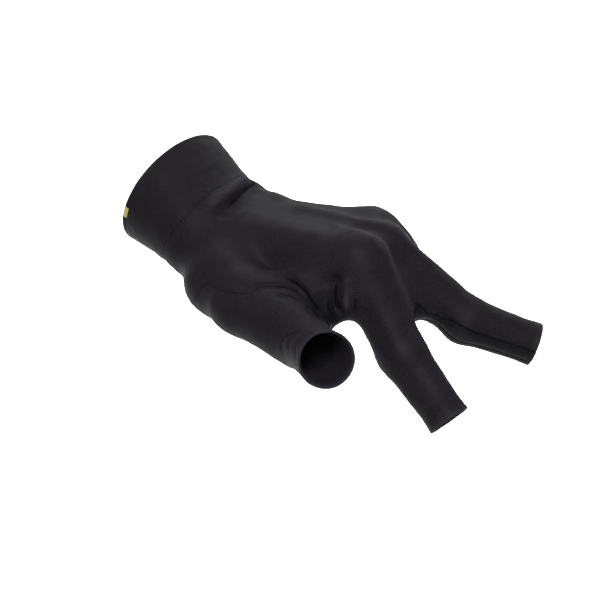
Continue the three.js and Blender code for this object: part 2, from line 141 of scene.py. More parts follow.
def finger(start, rows, length, width):
    rods = []
    at = start
    for share, yaw, pitch, first, last in rows:
        rods.append(bone(at, length * share, yaw, pitch, width * first / 2, width * last / 2))
        at = rods[-1].end
    return rods


def between(a, share_a, b, share_b, start_radius, end_radius):
    return Rod(a.at(share_a), b.at(share_b), start_radius, end_radius)


wrist_radius = WRIST_DEPTH / 2
knuckle_radius = KNUCKLE_DEPTH / 2

# Metacarpals: length, yaw, pitch, radius at the knuckle, start across the wrist
PALM_ROWS = {
    "index": (1.0, -14, 1.2, 0.98, -0.34),
    "middle": (1.0, 0, 0.1, 0.98, -0.1),
    "ring": (0.9, 11.8, 0.3, 0.92, 0.12),
    "little": (0.785, 25, -7, 0.84, 0.34),
}
palm = {}
for name, (length, yaw, pitch, radius, across) in PALM_ROWS.items():
    palm[name] = Rod(
        heading(HAND_YAW + 90, 0) * across * WRIST_WIDTH / 2,
        heading(HAND_YAW + yaw, pitch) * PALM_LENGTH * length,
        wrist_radius * 0.7,
        knuckle_radius * radius,
    )

# Finger bones: share of the covered length, yaw, pitch, and the widths at both ends
INDEX_ROWS = [
    (0.55, -53, -46.7, 1.3, 1.18),
    (0.45, -39.6, -42.3, 1.18, 1.0),
    (0.2, -39.6, -42.3, 1.0, 0.94),
]
MIDDLE_ROWS = [
    (0.59, -21.4, -34, 1.22, 1.16),
    (0.41, -3.9, -19.5, 1.16, 1.0),
    (0.2, -3.9, -20.7, 1.0, 0.94),
]
THUMB_BALL_ROWS = [(0.5, -63, -12, 0.96, 1.38), (0.5, -59, -8, 1.38, 1.24)]
THUMB_ROWS = [(0.56, -46, -9.5, 1.24, 1.0), (0.44, -66, 6, 1.0, 0.98), (0.12, -66, 6, 0.98, 0.96)]

index = finger(palm["index"].end, INDEX_ROWS, INDEX_LENGTH, INDEX_WIDTH)
middle = finger(palm["middle"].end, MIDDLE_ROWS, MIDDLE_LENGTH, MIDDLE_WIDTH)
bare_length = OPENING_REACH * 2.5
ring = finger(palm["ring"].end, [(1, -7.6, -23.7, 1, 0.92)], bare_length, KNUCKLE_DEPTH * 0.9)
little = finger(palm["little"].end, [(1, 0.2, -16.9, 1, 0.92)], bare_length, KNUCKLE_DEPTH * 0.82)
thumb_root = heading(HAND_YAW - 68, -19) * WRIST_WIDTH * 0.39
thumb_ball = finger(thumb_root, THUMB_BALL_ROWS, THUMB_BALL_LENGTH, THUMB_WIDTH)
thumb = finger(thumb_ball[1].end, THUMB_ROWS, THUMB_LENGTH, THUMB_WIDTH)

forearm = bone(np.zeros(3), CUFF_WIDTH + 14, FOREARM_YAW, FOREARM_PITCH, wrist_radius, CUFF_END_DEPTH / 2)
forearm_halves = []
for way in (-1, 1):
    spread = way * (WRIST_WIDTH - WRIST_DEPTH) / 2
    shift = forearm.side * spread + forearm.back * WRIST_DEPTH * 0.07
    drawn_in = forearm.side * spread * 0.4
    forearm_halves.append(Rod(forearm.start + shift, forearm.end + shift - drawn_in, *forearm.radii))

webs = [
    between(thumb[0], 0.75, index[0], 0.3, THUMB_WIDTH * 0.3, INDEX_WIDTH * 0.4),
    between(thumb[0], 0.2, palm["index"], 0.95, THUMB_WIDTH * 0.33, KNUCKLE_DEPTH * 0.33),
]
crotch = [
    between(index[0], 0.34, middle[0], 0.34, INDEX_WIDTH * 0.46, MIDDLE_WIDTH * 0.46),
    between(index[0], 0.45, middle[0], 0.5, INDEX_WIDTH * 0.45, MIDDLE_WIDTH * 0.47),
    between(index[0], 0.56, middle[0], 0.68, INDEX_WIDTH * 0.33, MIDDLE_WIDTH * 0.45),
]


# Field: distance to the hand's surface, below zero inside

def rod_distance(p, rod):
    b = rod.end - rod.start
    q = p - rod.start
    l2 = float(b @ b)
    taper = rod.radii[0] - rod.radii[1]
    a2 = l2 - taper * taper
    t = q @ b
    u = t - l2
    x2 = ((q * l2 - t[:, None] * b) ** 2).sum(1)
    t2 = t * t * l2
    u2 = u * u * l2
    k = np.sign(taper) * taper * taper * x2
    side = (np.sqrt(x2 * a2 / l2) + t * taper) / l2 - rod.radii[0]
    near_end = np.sqrt(x2 + u2) / l2 - rod.radii[1]
    near_start = np.sqrt(x2 + t2) / l2 - rod.radii[0]
    not_past_end = np.where(np.sign(t) * a2 * t2 < k, near_start, side)
    return np.where(np.sign(u) * a2 * u2 > k, near_end, not_past_end)


def blend(a, b, reach):
    h = np.maximum(reach - np.abs(a - b), 0) / reach
    return np.minimum(a, b) - h * h * reach / 4


def blended(p, rods, reach):
    d = rod_distance(p, rods[0])
    for rod in rods[1:]:
        d = blend(d, rod_distance(p, rod), reach)
    return d


def run_distance(p, run, normal=None):
    """Distance to a run of points, and how far along it the nearest place is.

    With the normals of the cloth it also gives the distance to one side of the run.
    """
    best = np.full(len(p), np.inf)
    where = np.zeros(len(p))
    offset = np.zeros(len(p))
    gone = 0.0
    for a, b in zip(run[:-1], run[1:]):
        length = np.linalg.norm(b - a)
        t = np.clip((p - a) @ (b - a) / length**2, 0, 1)
        away = p - a - t[:, None] * (b - a)
        d = np.linalg.norm(away, axis=1)
        nearer = d < best
        best = np.where(nearer, d, best)
        where = np.where(nearer, gone + t * length, where)
        if normal is not None:
            side = (unit(np.cross(b - a, normal)) * away).sum(1)
            offset = np.where(nearer, side, offset)
        gone += length
    return (best, where) if normal is None else (best, where, offset)


def lengths_along(run):
    """How far along a run each of its points lies."""
    steps = np.linalg.norm(np.diff(run[:, :3], axis=0), axis=1)
    return np.concatenate([[0], np.cumsum(steps)])


# Main folds, as shares of the palm's length: height above the surface, half width and run
FOLD_ROWS = [
    (-0.03, 0.036, [(0.105, -0.25, 0.175), (0.19, -0.13, 0.21), (0.276, 0.073, 0.2)]),
    (0.016, 0.04, [(0.05, -0.2, 0.21), (0.15, -0.06, 0.24), (0.2, 0.08, 0.23)]),
    (0.014, 0.032, [(0.29, 0.03, 0.19), (0.27, 0.14, 0.16)]),
    (0.018, 0.045, [(0.39, -0.02, 0.16), (0.38, 0.1, 0.12)]),
    (0.014, 0.045, [(0.71, -0.4, 0.145), (0.83, -0.57, 0.185), (0.925, -0.61, 0.14)]),
    (0.012, 0.042, [
        (0.925, -0.61, 0.14), (0.965, -0.66, 0.06), (1.0, -0.73, -0.045), (1.065, -0.78, -0.16),
    ]),
    (0.013, 0.045, [(0.52, -0.16, 0.16), (0.74, -0.26, 0.15), (0.9, -0.37, 0.16)]),
    (0.013, 0.042, [(0.9, -0.37, 0.16), (1.01, -0.39, 0.13), (1.06, -0.43, 0.08), (1.14, -0.45, 0.0)]),
    (-0.02, 0.032, [
        (0.42, -0.66, 0.0), (0.515, -0.735, -0.053), (0.57, -0.815, -0.078), (0.6, -0.9, -0.105),
    ]),
    (-0.014, 0.026, [
        (0.42, -0.815, -0.05), (0.49, -0.81, -0.062), (0.545, -0.855, -0.075), (0.59, -0.94, -0.1),
    ]),
    (-0.012, 0.026, [(0.3, -0.77, -0.024), (0.375, -0.75, -0.025), (0.45, -0.74, -0.037)]),
    (-0.03, 0.03, [(0.693, -0.73, -0.01), (0.692, -0.815, -0.09), (0.706, -0.83, -0.13)]),
    (0.014, 0.026, [(0.735, -0.75, -0.004), (0.73, -0.82, -0.115)]),
    (-0.01, 0.05, [(0.845, -0.84, -0.185), (0.935, -0.945, -0.29), (1.09, -1.06, -0.47)]),
]
folds = [(h * PALM_LENGTH, w * PALM_LENGTH, np.array(run) * PALM_LENGTH) for h, w, run in FOLD_ROWS]


def fold_height(p):
    height = np.zeros(len(p))
    for h, w, run in folds:
        height += h * bell(run_distance(p, run)[0], w)
    return height


# Groups of bones: how softly they blend with each other and with the groups before them
GROUPS = [
    (list(palm.values()), 9, 9),
    (forearm_halves, 14, 10),
    (thumb_ball + thumb, 4, 11),
    (webs, 8, 10),
    (index, 3, 7),
    (middle, 3, 7),
    (crotch, 4, 5),
]


def bare_field(p):
    """The covered hand without its ring and little fingers."""
    d = np.full(len(p), np.inf)
    for rods, inner_reach, outer_reach in GROUPS:
        d = blend(d, blended(p, rods, inner_reach), outer_reach)
    near = np.abs(d) < 4 * WALL
    d[near] -= fold_height(p[near])
    return d


def hand_field(p):
    return blend(bare_field(p), blended(p, ring + little, 12), 7)


def slope(field, p):
    h = 0.05
    steps = np.eye(3) * h
    return np.stack([field(p + s) - field(p - s) for s in steps], axis=1) / (2 * h)


# Surface: one point in each small cell that the field's zero surface crosses

CORNERS = [np.array(corner) for corner in itertools.product((0, 1), repeat=3)]


def shifted(grid, corner, shape):
    """The part of a grid, of a given shape, that starts at one corner of its first cell."""
    i, j, k = corner
    return grid[i : i + shape[0], j : j + shape[1], k : k + shape[2]]


def surface(field):
    count = np.ceil((SPACE_HIGH - SPACE_LOW) / (CELL * COARSE)).astype(int)
    axes = [SPACE_LOW[a] + CELL * COARSE * np.arange(count[a] + 1) for a in range(3)]
    grid = np.stack(np.meshgrid(*axes, indexing="ij"), axis=-1)
    rough = field(grid.reshape(-1, 3)).reshape(grid.shape[:3])
    lowest = np.min([np.abs(shifted(rough, corner, count)) for corner in CORNERS], axis=0)
    near = lowest < CELL * COARSE * 1.2
    sign = np.where(rough[:-1, :-1, :-1] < 0, -FAR, FAR)
    for a in range(3):
        near = np.repeat(near, COARSE, axis=a)
        sign = np.repeat(sign, COARSE, axis=a)
    fine = count * COARSE + 1
    value = np.full(tuple(fine), FAR)
    value[:-1, :-1, :-1] = sign
    wanted = np.zeros(tuple(fine), bool)
    for corner in CORNERS:
        part = shifted(wanted, corner, near.shape)
        part |= near
    places = SPACE_LOW + np.argwhere(wanted) * CELL
    parts = np.array_split(places, max(1, len(places) // 200000))
    value[wanted] = np.concatenate([field(part) for part in parts])

    inside = value < 0
    total = sum(shifted(inside, corner, fine - 1).astype(np.int8) for corner in CORNERS)
    cells = np.argwhere((total > 0) & (total < 8))
    sums = np.zeros((len(cells), 3))
    crossings = np.zeros(len(cells))
    for a in CORNERS:
        for axis in range(3):
            if a[axis]:
                continue
            b = a.copy()
            b[axis] = 1
            va = value[tuple((cells + a).T)]
            vb = value[tuple((cells + b).T)]
            crossed = (va < 0) != (vb < 0)
            t = np.where(crossed, va / np.where(crossed, va - vb, 1), 0)
            sums[crossed] += (a + t[:, None] * (b - a))[crossed]
            crossings += crossed
    points = SPACE_LOW + (cells + sums / crossings[:, None]) * CELL

    number = np.full(tuple(fine), -1)
    number[tuple(cells.T)] = np.arange(len(cells))
    quads = []
    step = np.eye(3, dtype=int)
    for axis in range(3):
        u, v = step[(axis + 1) % 3], step[(axis + 2) % 3]
        here = shifted(inside, (0, 0, 0), fine - 1)
        spots = np.argwhere(here != shifted(inside, step[axis], fine - 1))
        spots = spots[(spots > 0).all(axis=1)]
        quad = np.stack([number[tuple((spots - w).T)] for w in (u + v, v, 0 * u, u)], axis=1)
        out = ~inside[tuple(spots.T)]
        quad[out] = quad[out][:, ::-1]
        quads.append(quad[(quad >= 0).all(axis=1)])
    quads = np.concatenate(quads)

    for _ in range(3):
        g = slope(field, points)
        points = points - g * (field(points) / (g * g).sum(1))[:, None]
    normals = unit(slope(field, points))
    first = np.linalg.norm(points[quads[:, 0]] - points[quads[:, 2]], axis=1)
    second = np.linalg.norm(points[quads[:, 1]] - points[quads[:, 3]], axis=1)
    short = (first < second)[:, None]
    faces = np.concatenate([
        np.where(short, quads[:, [0, 1, 2]], quads[:, [0, 1, 3]]),
        np.where(short, quads[:, [0, 2, 3]], quads[:, [1, 2, 3]]),
    ])
    return np.hstack([points, normals]), faces


# Mesh tools. A mesh is a table of points, whose first six columns are place and normal, and
# a table of triangles.

def tidy(data, faces):
    used, back = np.unique(faces, return_inverse=True)
    return data[used], back.reshape(faces.shape)


def edges_of(faces):
    return np.concatenate([faces[:, [0, 1]], faces[:, [1, 2]], faces[:, [2, 0]]])


def crossings(data, faces, value):
    """Where a value's zero line cuts a mesh.

    Gives the triangles that it cuts, each turned so that the corner which is alone on its side
    comes first, whether that corner is the one above zero, the points where the line crosses
    the edges, and the number of the point on the first and on the last edge of each triangle.
    """
    above = value[faces] > 0
    count = above.sum(1)
    cut = (count == 1) | (count == 2)
    lone = count[cut] == 1
    odd = np.argmax(above[cut] == lone[:, None], axis=1)
    rows = np.take_along_axis(faces[cut], (odd[:, None] + np.arange(3)) % 3, axis=1)
    pairs = np.sort(np.concatenate([rows[:, [0, 1]], rows[:, [0, 2]]]), axis=1)
    edges, back = np.unique(pairs, axis=0, return_inverse=True)
    va, vb = value[edges].T
    t = (va / (va - vb))[:, None]
    spots = data[edges[:, 0]] * (1 - t) + data[edges[:, 1]] * t
    return rows, lone, spots, *back.reshape(2, -1)


def clip(data, faces, value):
    """The part of a mesh where the value is above zero, cut along its zero line."""
    rows, lone, spots, ab, ac = crossings(data, faces, value)
    a, b, c = rows.T
    ab, ac = ab + len(data), ac + len(data)
    kept = [faces[(value[faces] > 0).all(axis=1)], np.stack([a, ab, ac], axis=1)[lone]]
    kept += [np.stack(corners, axis=1)[~lone] for corners in ([ab, b, c], [ab, c, ac])]
    return tidy(np.vstack([data, spots]), np.concatenate(kept))


def merge(first, second, tolerance=0.01):
    """Two meshes as one, with points that lie together made one."""
    data = np.vstack([first[0], second[0]])
    faces = np.concatenate([first[1], second[1] + len(first[0])])
    keys = np.round(data[:, :3] / tolerance).astype(np.int64)
    _, keep, back = np.unique(keys, axis=0, return_index=True, return_inverse=True)
    faces = back.reshape(-1)[faces]
    flat = (faces[:, 0] == faces[:, 1]) | (faces[:, 1] == faces[:, 2]) | (faces[:, 2] == faces[:, 0])
    return tidy(data[keep], faces[~flat])


def largest(data, faces):
    """The biggest connected part of a mesh."""
    label = np.arange(len(data))
    while True:
        lowest = label[faces].min(axis=1)
        new = label.copy()
        for k in range(3):
            np.minimum.at(new, faces[:, k], lowest)
        new = new[new]
        if (new == label).all():
            break
        label = new
    names, counts = np.unique(label[faces[:, 0]], return_counts=True)
    best = names[counts.argmax()]
    return tidy(data, faces[label[faces[:, 0]] == best])


def boundary(faces):
    """The directed edges that only one triangle has."""
    edges = edges_of(faces)
    size = int(faces.max()) + 1
    forward = edges[:, 0] * size + edges[:, 1]
    backward = edges[:, 1] * size + edges[:, 0]
    return edges[~np.isin(forward, backward)]


def zero_line(data, faces, value):
    """The value's longest zero line on a mesh, as a run of rows of the data."""
    _, _, spots, first, second = crossings(data, faces, value)
    near = {}
    for a, b in zip(first, second):
        near.setdefault(int(a), []).append(int(b))
        near.setdefault(int(b), []).append(int(a))
    runs = []
    left = set(near)
    ends = [k for k in near if len(near[k]) == 1]
    while left:
        start = next((k for k in ends if k in left), None)
        if start is None:
            start = min(left)
        run = [start]
        left.discard(start)
        while True:
            step = [k for k in near[run[-1]] if k in left]
            if not step:
                break
            run.append(step[0])
            left.discard(step[0])
        closed = len(run) > 2 and run[0] in near[run[-1]]
        runs.append(spots[run + [run[0]] if closed else run])
    return max(runs, key=lambda r: lengths_along(r)[-1])


def resample(run, spacing, smooth=3):
    """A run with even spacing, smoothed a little."""
    run = run[np.concatenate([[True], np.diff(lengths_along(run)) > 1e-6])]
    gone = lengths_along(run)
    n = max(4, int(round(gone[-1] / spacing)))
    marks = np.linspace(0, gone[-1], n + 1)
    out = np.stack([np.interp(marks, gone, run[:, k]) for k in range(run.shape[1])], axis=1)
    closed = np.linalg.norm(run[0, :3] - run[-1, :3]) < 1e-3
    for _ in range(smooth):
        if closed:
            loop = out[:-1]
            loop = (np.roll(loop, 1, axis=0) + 2 * loop + np.roll(loop, -1, axis=0)) / 4
            out = np.vstack([loop, loop[:1]])
        else:
            out[1:-1] = (out[:-2] + 2 * out[1:-1] + out[2:]) / 4
    out[:, 3:6] = unit(out[:, 3:6])
    return out


def shell(data, faces, wall=WALL, bulge=0.8, steps=5):
    """A sheet of cloth below a surface, with rounded edges: its places, faces and marks."""
    p, n = data[:, :3], data[:, 3:6]
    edges = boundary(faces)
    out = np.zeros_like(p)
    ways = unit(np.cross(p[edges[:, 1]] - p[edges[:, 0]], (n[edges[:, 0]] + n[edges[:, 1]]) / 2))
    np.add.at(out, edges[:, 0], ways)
    np.add.at(out, edges[:, 1], ways)
    rim = np.unique(edges)
    out = unit(out[rim])
    order = np.full(len(p), -1)
    order[rim] = np.arange(len(rim))
    places = [p, p - n * wall]
    middle_of = p[rim] - n[rim] * wall / 2
    for step in range(1, steps):
        angle = math.pi * step / steps
        over = n[rim] * (wall / 2 * math.cos(angle))
        places.append(middle_of + over + out * (bulge * wall / 2 * math.sin(angle)))
    total = len(p)

    def row(step, k):
        if step == 0:
            return k
        if step == steps:
            return total + k
        return 2 * total + (step - 1) * len(rim) + order[k]

    made = [faces, faces[:, ::-1] + total]
    a, b = edges.T
    for step in range(steps):
        a0, b0, a1, b1 = row(step, a), row(step, b), row(step + 1, a), row(step + 1, b)
        made.append(np.stack([b0, a0, a1], axis=1))
        made.append(np.stack([b0, a1, b1], axis=1))
    extra = data[:, 6:]
    attributes = np.vstack([extra, extra] + [extra[rim]] * (steps - 1))
    return np.vstack(places), np.concatenate(made), attributes


# Planes and lines that the panels are cut and sewn along

# How far short of a hem and of a seam the cloth is cut, and how far inside a hem its line lies
HEM_EDGE = 0.4 * WALL
SEAM_EDGE = 0.14 * WALL
HEM_LINE = 2.4

cuff_end = (forearm_halves[0].start + forearm_halves[1].start) / 2 + forearm.along * CUFF_WIDTH
cuff_end_normal = heading(FOREARM_YAW + 6, FOREARM_PITCH)
cuff_seam_point = np.array([0.026, 0.026, 0.053]) * WRIST_DEPTH
cuff_seam_normal = heading(FOREARM_YAW + 12, FOREARM_PITCH + 8)
thumb_seam_point = thumb[0].start + np.array([0.27, 0.21, -0.28]) * THUMB_WIDTH
thumb_seam_normal = unit([-0.06, -0.78, -0.61])
web_seam_point = thumb[0].end + np.array([0.51, 0.11, 0.21]) * THUMB_WIDTH
web_seam_normal = unit([-0.81, -0.5, -0.3])
rim_normal = heading(HAND_YAW + 61.5, 0)
rim_point = palm["ring"].end + rim_normal * OPENING_REACH * 0.7
thumb_hem_normal = heading(-74, 16)
gusset_middle = -GUSSET_WIDTH * 0.04
gusset_top = gusset_middle + GUSSET_WIDTH / 2
gusset_bottom = gusset_middle - GUSSET_WIDTH / 2


def past_plane(p, point, normal):
    return (p - point) @ normal


def past_rim(p):
    return past_plane(p, rim_point, rim_normal)


def past_finger_hem(p, rods):
    """Distance past a finger's hem, counted only near that hem."""
    away = np.linalg.norm(p - rods[1].end, axis=1)
    return np.minimum(past_plane(p, rods[1].end, rods[1].along), 30 - away)


def past_hems(p):
    cuff = past_plane(p, cuff_end, cuff_end_normal)
    thumb_hem = past_plane(p, thumb[1].end, thumb_hem_normal)
    return [cuff, thumb_hem, past_finger_hem(p, index), past_finger_hem(p, middle)]


def cuff_side(p):
    return past_plane(p, cuff_seam_point, cuff_seam_normal)


# How far the thumb's seam runs off its plane over the back of the thumb, along +X
SEAM_DRIFT = [
    (-6, 0), (-2.6, 0.2), (0.4, -3.0), (3, -3.8), (6.6, 0), (10.2, 2.8), (15.3, 4.1),
    (21.3, 4.6), (25.4, 1.2), (30, -0.5), (36.2, -1.2), (41.2, -0.4), (46, 0),
]


def thumb_side(p):
    over = 1 / (1 + np.exp(-(p[:, 2] + 14) / 2.0))
    drift = np.interp(p[:, 0], *np.array(SEAM_DRIFT).T) * over
    main = past_plane(p, thumb_seam_point, thumb_seam_normal) - drift
    return blend(main, past_plane(p, web_seam_point, web_seam_normal), 5)


def on_chain(p, rods):
    """For each place, its nearest place on a chain of bones and the chain's back direction."""
    best = np.full(len(p), np.inf)
    spot = np.zeros_like(p)
    back = np.zeros_like(p)
    for i, rod in enumerate(rods):
        t = np.clip(((p - rod.start) @ rod.along) / rod.length, 0, 1)
        foot = rod.start + t[:, None] * (rod.end - rod.start)
        d = np.linalg.norm(p - foot, axis=1)
        first = rods[i - 1].back if i else rod.back
        last = rods[i + 1].back if i + 1 < len(rods) else rod.back
        ease = np.clip(0.5 - t, 0, 0.5)[:, None] * (first - rod.back)
        ease += np.clip(t - 0.5, 0, 0.5)[:, None] * (last - rod.back)
        nearer = d < best
        best = np.where(nearer, d, best)
        spot[nearer] = foot[nearer]
        back[nearer] = unit(rod.back + ease)[nearer]
    return best, spot, back


# How far the gusset's back seam drops on the middle finger, along +X
BACK_SEAM_DROP = [(92, 2.7), (98, 3.7), (103, 4.2), (108, 2.3), (113, 1.0), (119, 2.0), (125, 2.7)]


def gusset_side(p):
    """A value above zero on the strip between the fingers, and the heights over its two seams."""
    near_index, spot_index, back_index = on_chain(p, index)
    near_middle, spot_middle, back_middle = on_chain(p, middle)
    over_index = ((p - spot_index) * back_index).sum(1)
    over_middle = ((p - spot_middle) * back_middle).sum(1)
    share = near_middle**2 / (near_index**2 + near_middle**2)
    height = over_index * share + over_middle * (1 - share)
    across = unit(spot_middle - spot_index)
    facing = np.minimum(((p - spot_index) * across).sum(1), -((p - spot_middle) * across).sum(1))
    knuckles = (index[0].start + middle[0].start) / 2
    ahead = past_plane(p, knuckles, heading(HAND_YAW - 7, -10))
    # The drop of the back seam grows as the strip turns onto the middle finger
    turned = np.clip((0.62 - share) / 0.3, 0, 1)
    drop = np.interp(p[:, 0], *np.array(BACK_SEAM_DROP).T)
    over_top = height - gusset_top + drop * smooth_step(turned)
    over_bottom = height - gusset_bottom
    strip = np.minimum(over_bottom, -over_top)
    return np.minimum(strip, np.minimum(facing, ahead)), over_top, over_bottom


def middle_side(p):
    """Height above the leaf from the middle finger to its ring-finger side, and how far out."""
    _, spot, back = on_chain(p, middle)
    along = np.where((p - middle[1].start) @ middle[1].along > 0, 1, 0)[:, None]
    along = along * middle[1].along + (1 - along) * middle[0].along
    side = np.cross(back, along)
    tilt = math.radians(20)
    out = side * math.cos(tilt) + back * math.sin(tilt)
    over = np.cross(along, out)
    return ((p - spot) * over).sum(1), ((p - spot) * out).sum(1)


# Fine folds in millimetres: height, half width and a run of places on the cloth
CREASES = [
    # Slit of the fold across the back of the wrist, and the lip of cloth over it
    (-1.2, 1.5, [
        (9.8, -17.1, 14.4), (14.0, -10.3, 16.3), (18.2, -1.2, 16.7), (21.6, 7.7, 16.0),
        (23.1, 10.5, 15.7),
    ]),
    (0.6, 2.0, [(7.7, -15.4, 16.9), (11.8, -8.0, 18.8), (15.8, 1.8, 19.0), (18.5, 9.5, 18.0)]),
    # Creases from the back of the thumb into the web
    (-0.6, 1.3, [
        (34.9, -53.0, -1.2), (38.0, -56.1, -2.0), (41.2, -58.2, -3.3), (44.9, -60.4, -6.0),
        (48.6, -68.1, -8.0), (51.0, -73.6, -10.1),
    ]),
    (-0.45, 1.3, [
        (30.0, -61.7, -2.4), (36.2, -60.4, -3.4), (41.2, -60.3, -5.4), (44.3, -62.3, -7.2),
        (47.3, -68.1, -8.0), (50.4, -74.5, -10.4),
    ]),
    (-0.45, 1.3, [
        (34.4, -67.0, -4.7), (38.7, -65.8, -5.3), (43.0, -67.6, -6.8), (46.1, -71.1, -7.9),
        (49.2, -74.2, -9.8), (51.0, -79.4, -10.1),
    ]),
    (0.4, 1.6, [(38.5, -54.0, -1.2), (42.5, -57.0, -2.6), (46.5, -61.0, -5.4), (50.5, -68.5, -8.0)]),
    # Slit where the web meets the index finger, and the pleats beside it
    (-0.9, 1.3, [(57.6, -59.2, -2.2), (57.3, -62.0, -5.3), (57.9, -66.2, -8.2), (58.8, -67.6, -10.9)]),
    (0.45, 1.5, [(61.0, -61.5, -2.0), (60.9, -65.5, -6.5), (61.6, -68.0, -10.5)]),
    (-0.6, 1.2, [(65.2, -66.6, -5.7), (65.5, -67.6, -9.0), (65.7, -67.4, -12.8)]),
    # Rings round the thumb just inside its hem
    (-0.4, 1.2, [
        (35.2, -90.5, -19.6), (34.5, -88.9, -16.3), (36.4, -89.2, -12.7), (40.6, -92.1, -9.3),
        (44.5, -91.0, -7.5),
    ]),
    (-0.35, 1.2, [(37.9, -96.3, -16.8), (37.6, -93.7, -13.9), (39.4, -93.2, -10.8), (44.2, -95.0, -7.6)]),
    (-0.3, 1.2, [(40.9, -104.6, -15.8), (40.3, -100.3, -13.4), (41.9, -99.0, -10.0), (45.5, -100.3, -6.9)]),
    # Slack over the far side of the wrist
    (-0.5, 1.4, [(29.0, 4.5, 14.2), (27.5, 10.0, 12.5)]),
    (0.35, 2.0, [(36.5, -0.5, 13.4), (37.0, 6.0, 11.0)]),
]

# Creases with a sharp slit at the bottom, by row, and how dark the painted shade in each slit is
SLITS = {0: 1.0, 2: 0.9, 3: 0.7, 4: 0.7, 6: 1.0, 8: 0.5, 9: 0.35, 10: 0.35, 11: 0.3}


def curve(run, steps=6):
    """A smooth run through a few places."""
    run = np.array(run, float)
    run = np.vstack([2 * run[0] - run[1], run, 2 * run[-1] - run[-2]])
    t = np.linspace(0, 1, steps, endpoint=False)[:, None]
    out = []
    for a, b, c, d in zip(run[:-3], run[1:-2], run[2:-1], run[3:]):
        square = 2 * a - 5 * b + 4 * c - d
        cube = 3 * b - a - 3 * c + d
        out.append((2 * b + (c - a) * t + square * t**2 + cube * t**3) / 2)
    return np.vstack(out + [run[-2:-1]])


creases = [(h, w, curve(run)) for h, w, run in CREASES]


def ripple(p, way, pitch, phase):
    """A soft wave of cloth along a direction."""
    drift = 0.8 * np.sin(p @ np.array([0.21, -0.13, 0.17]) + phase)
    return np.sin(2 * math.pi * (p @ unit(way)) / pitch + phase + drift)


def near_spot(p, spot, reach):
    """One at a spot, and less away from it."""
    return bell(np.linalg.norm(p - np.array(spot), axis=1), reach)


def fine_height(p):
    height = np.zeros(len(p))
    for h, w, run in creases:
        away, gone = run_distance(p, run)
        total = lengths_along(run)[-1]
        ends = np.clip(np.minimum(gone, total - gone) / (0.22 * total), 0, 1)
        height += h * (0.25 + 0.75 * smooth_step(ends)) * bell(away, w)
    # Slack that the bent fingers leave, and a slight unevenness of the whole cloth
    height += 0.10 * ripple(p, (0.9, -0.4, 0.1), 13, 0.4) * ripple(p, (0.3, 0.8, 0.5), 17, 1.9)
    height += 0.05 * ripple(p, (0.5, 0.2, -0.8), 7, 2.2) * ripple(p, (-0.2, 0.9, 0.4), 8.5, 0.7)
    # Hollow of the web between its two slits
    height -= 1.6 * near_spot(p, (55.0, -69.0, -9.0), 4.5)
    # A pressed line beside each hem
    for past in past_hems(p):
        height -= 0.16 * bell(past + HEM_LINE, 0.7)
    # Cloth drawn down along its seams
    for line, depth, width in ((cuff_side(p), 0.25, 1.6), (thumb_side(p), 0.2, 1.4)):
        height -= depth * bell(line, width)
    strip, over_top, over_bottom = gusset_side(p)
    for line in (over_top, over_bottom):
        height -= np.where(strip > -6, 0.2 * bell(line, 1.2), 0)
    return height


whole = surface(hand_field)
bare = surface(bare_field)
skin = merge(
    clip(*whole, -past_rim(whole[0][:, :3])),
    clip(*bare, past_rim(bare[0][:, :3])),
)
skin = largest(*clip(*skin, -np.max(past_hems(skin[0][:, :3]), axis=0) - HEM_EDGE))


# Each point of the skin keeps, after its place and normal, where it stands to every seam
flat = skin[0][:, :3].copy()
side_over, side_out = middle_side(flat)
columns = [cuff_side(flat), thumb_side(flat), *gusset_side(flat), side_over, side_out, past_rim(flat)]
CUFF, THUMB, STRIP, STRIP_TOP, STRIP_BOTTOM, SIDE, SIDE_OUT, RIM = range(6, 14)
raised = flat + skin[0][:, 3:6] * fine_height(flat)[:, None]
skin = (np.hstack([raised, skin[0][:, 3:6], np.stack(columns, axis=1)]), skin[1])


# Seam lines on the skin

def seam_run(data, faces, column, keep=None):
    if keep is not None:
        data, faces = tidy(data, faces[keep[faces].all(axis=1)])
    return resample(zero_line(data, faces, data[:, column]), 0.25, smooth=10)


cuff_line = seam_run(*skin, CUFF)
thumb_line = seam_run(*skin, THUMB)
near_strip = skin[0][:, STRIP] > -2.5
back_line = seam_run(*skin, STRIP_TOP, near_strip)
palm_line = seam_run(*skin, STRIP_BOTTOM, near_strip)
side_line = seam_run(*skin, SIDE, (skin[0][:, SIDE_OUT] > 2) & (skin[0][:, RIM] > 1.0))


# Lines in the cloth: each point keeps its distance to one side of the nearest line, and how
# deep that line is there, so that the material can draw it finer than the mesh

def strongest(rows, size):
    """Of several lines, the one that is deepest at each point."""
    offset, depth = np.full(size, FAR), np.zeros(size)
    for value, weight in rows:
        here = weight * np.clip(1.6 - np.abs(value) / 2.5, 0, 1)
        stronger = here > depth
        offset = np.where(stronger, value, offset)
        depth = np.where(stronger, here, depth)
    return offset, depth


# Each slit's depth sets both its dip and its painted shade
def slit_lines(data):
    rows = []
    for row, weight in SLITS.items():
        run = creases[row][2]
        total = lengths_along(run)[-1]
        away, where, offset = run_distance(data[:, :3], run, data[:, 3:6])
        ends = np.clip(np.minimum(where, total - where) / (0.3 * total), 0, 1)
        near = np.clip(2 - away / 3, 0, 1)
        rows.append((offset, weight * near * ends * (2 - ends)))
    return strongest(rows, len(data))


def seam_lines(data):
    strip_near = np.clip(data[:, STRIP] + 3.0, 0, 1)
    side_near = np.clip((data[:, SIDE_OUT] - 2) / 2, 0, 1) * np.clip(data[:, RIM] - 1, 0, 1)
    return strongest([
        (data[:, CUFF], 0.14),
        (data[:, THUMB], 0.24),
        (data[:, STRIP_TOP], strip_near),
        (data[:, STRIP_BOTTOM], 0.7 * strip_near),
        (data[:, SIDE], 0.6 * side_near),
    ], len(data))


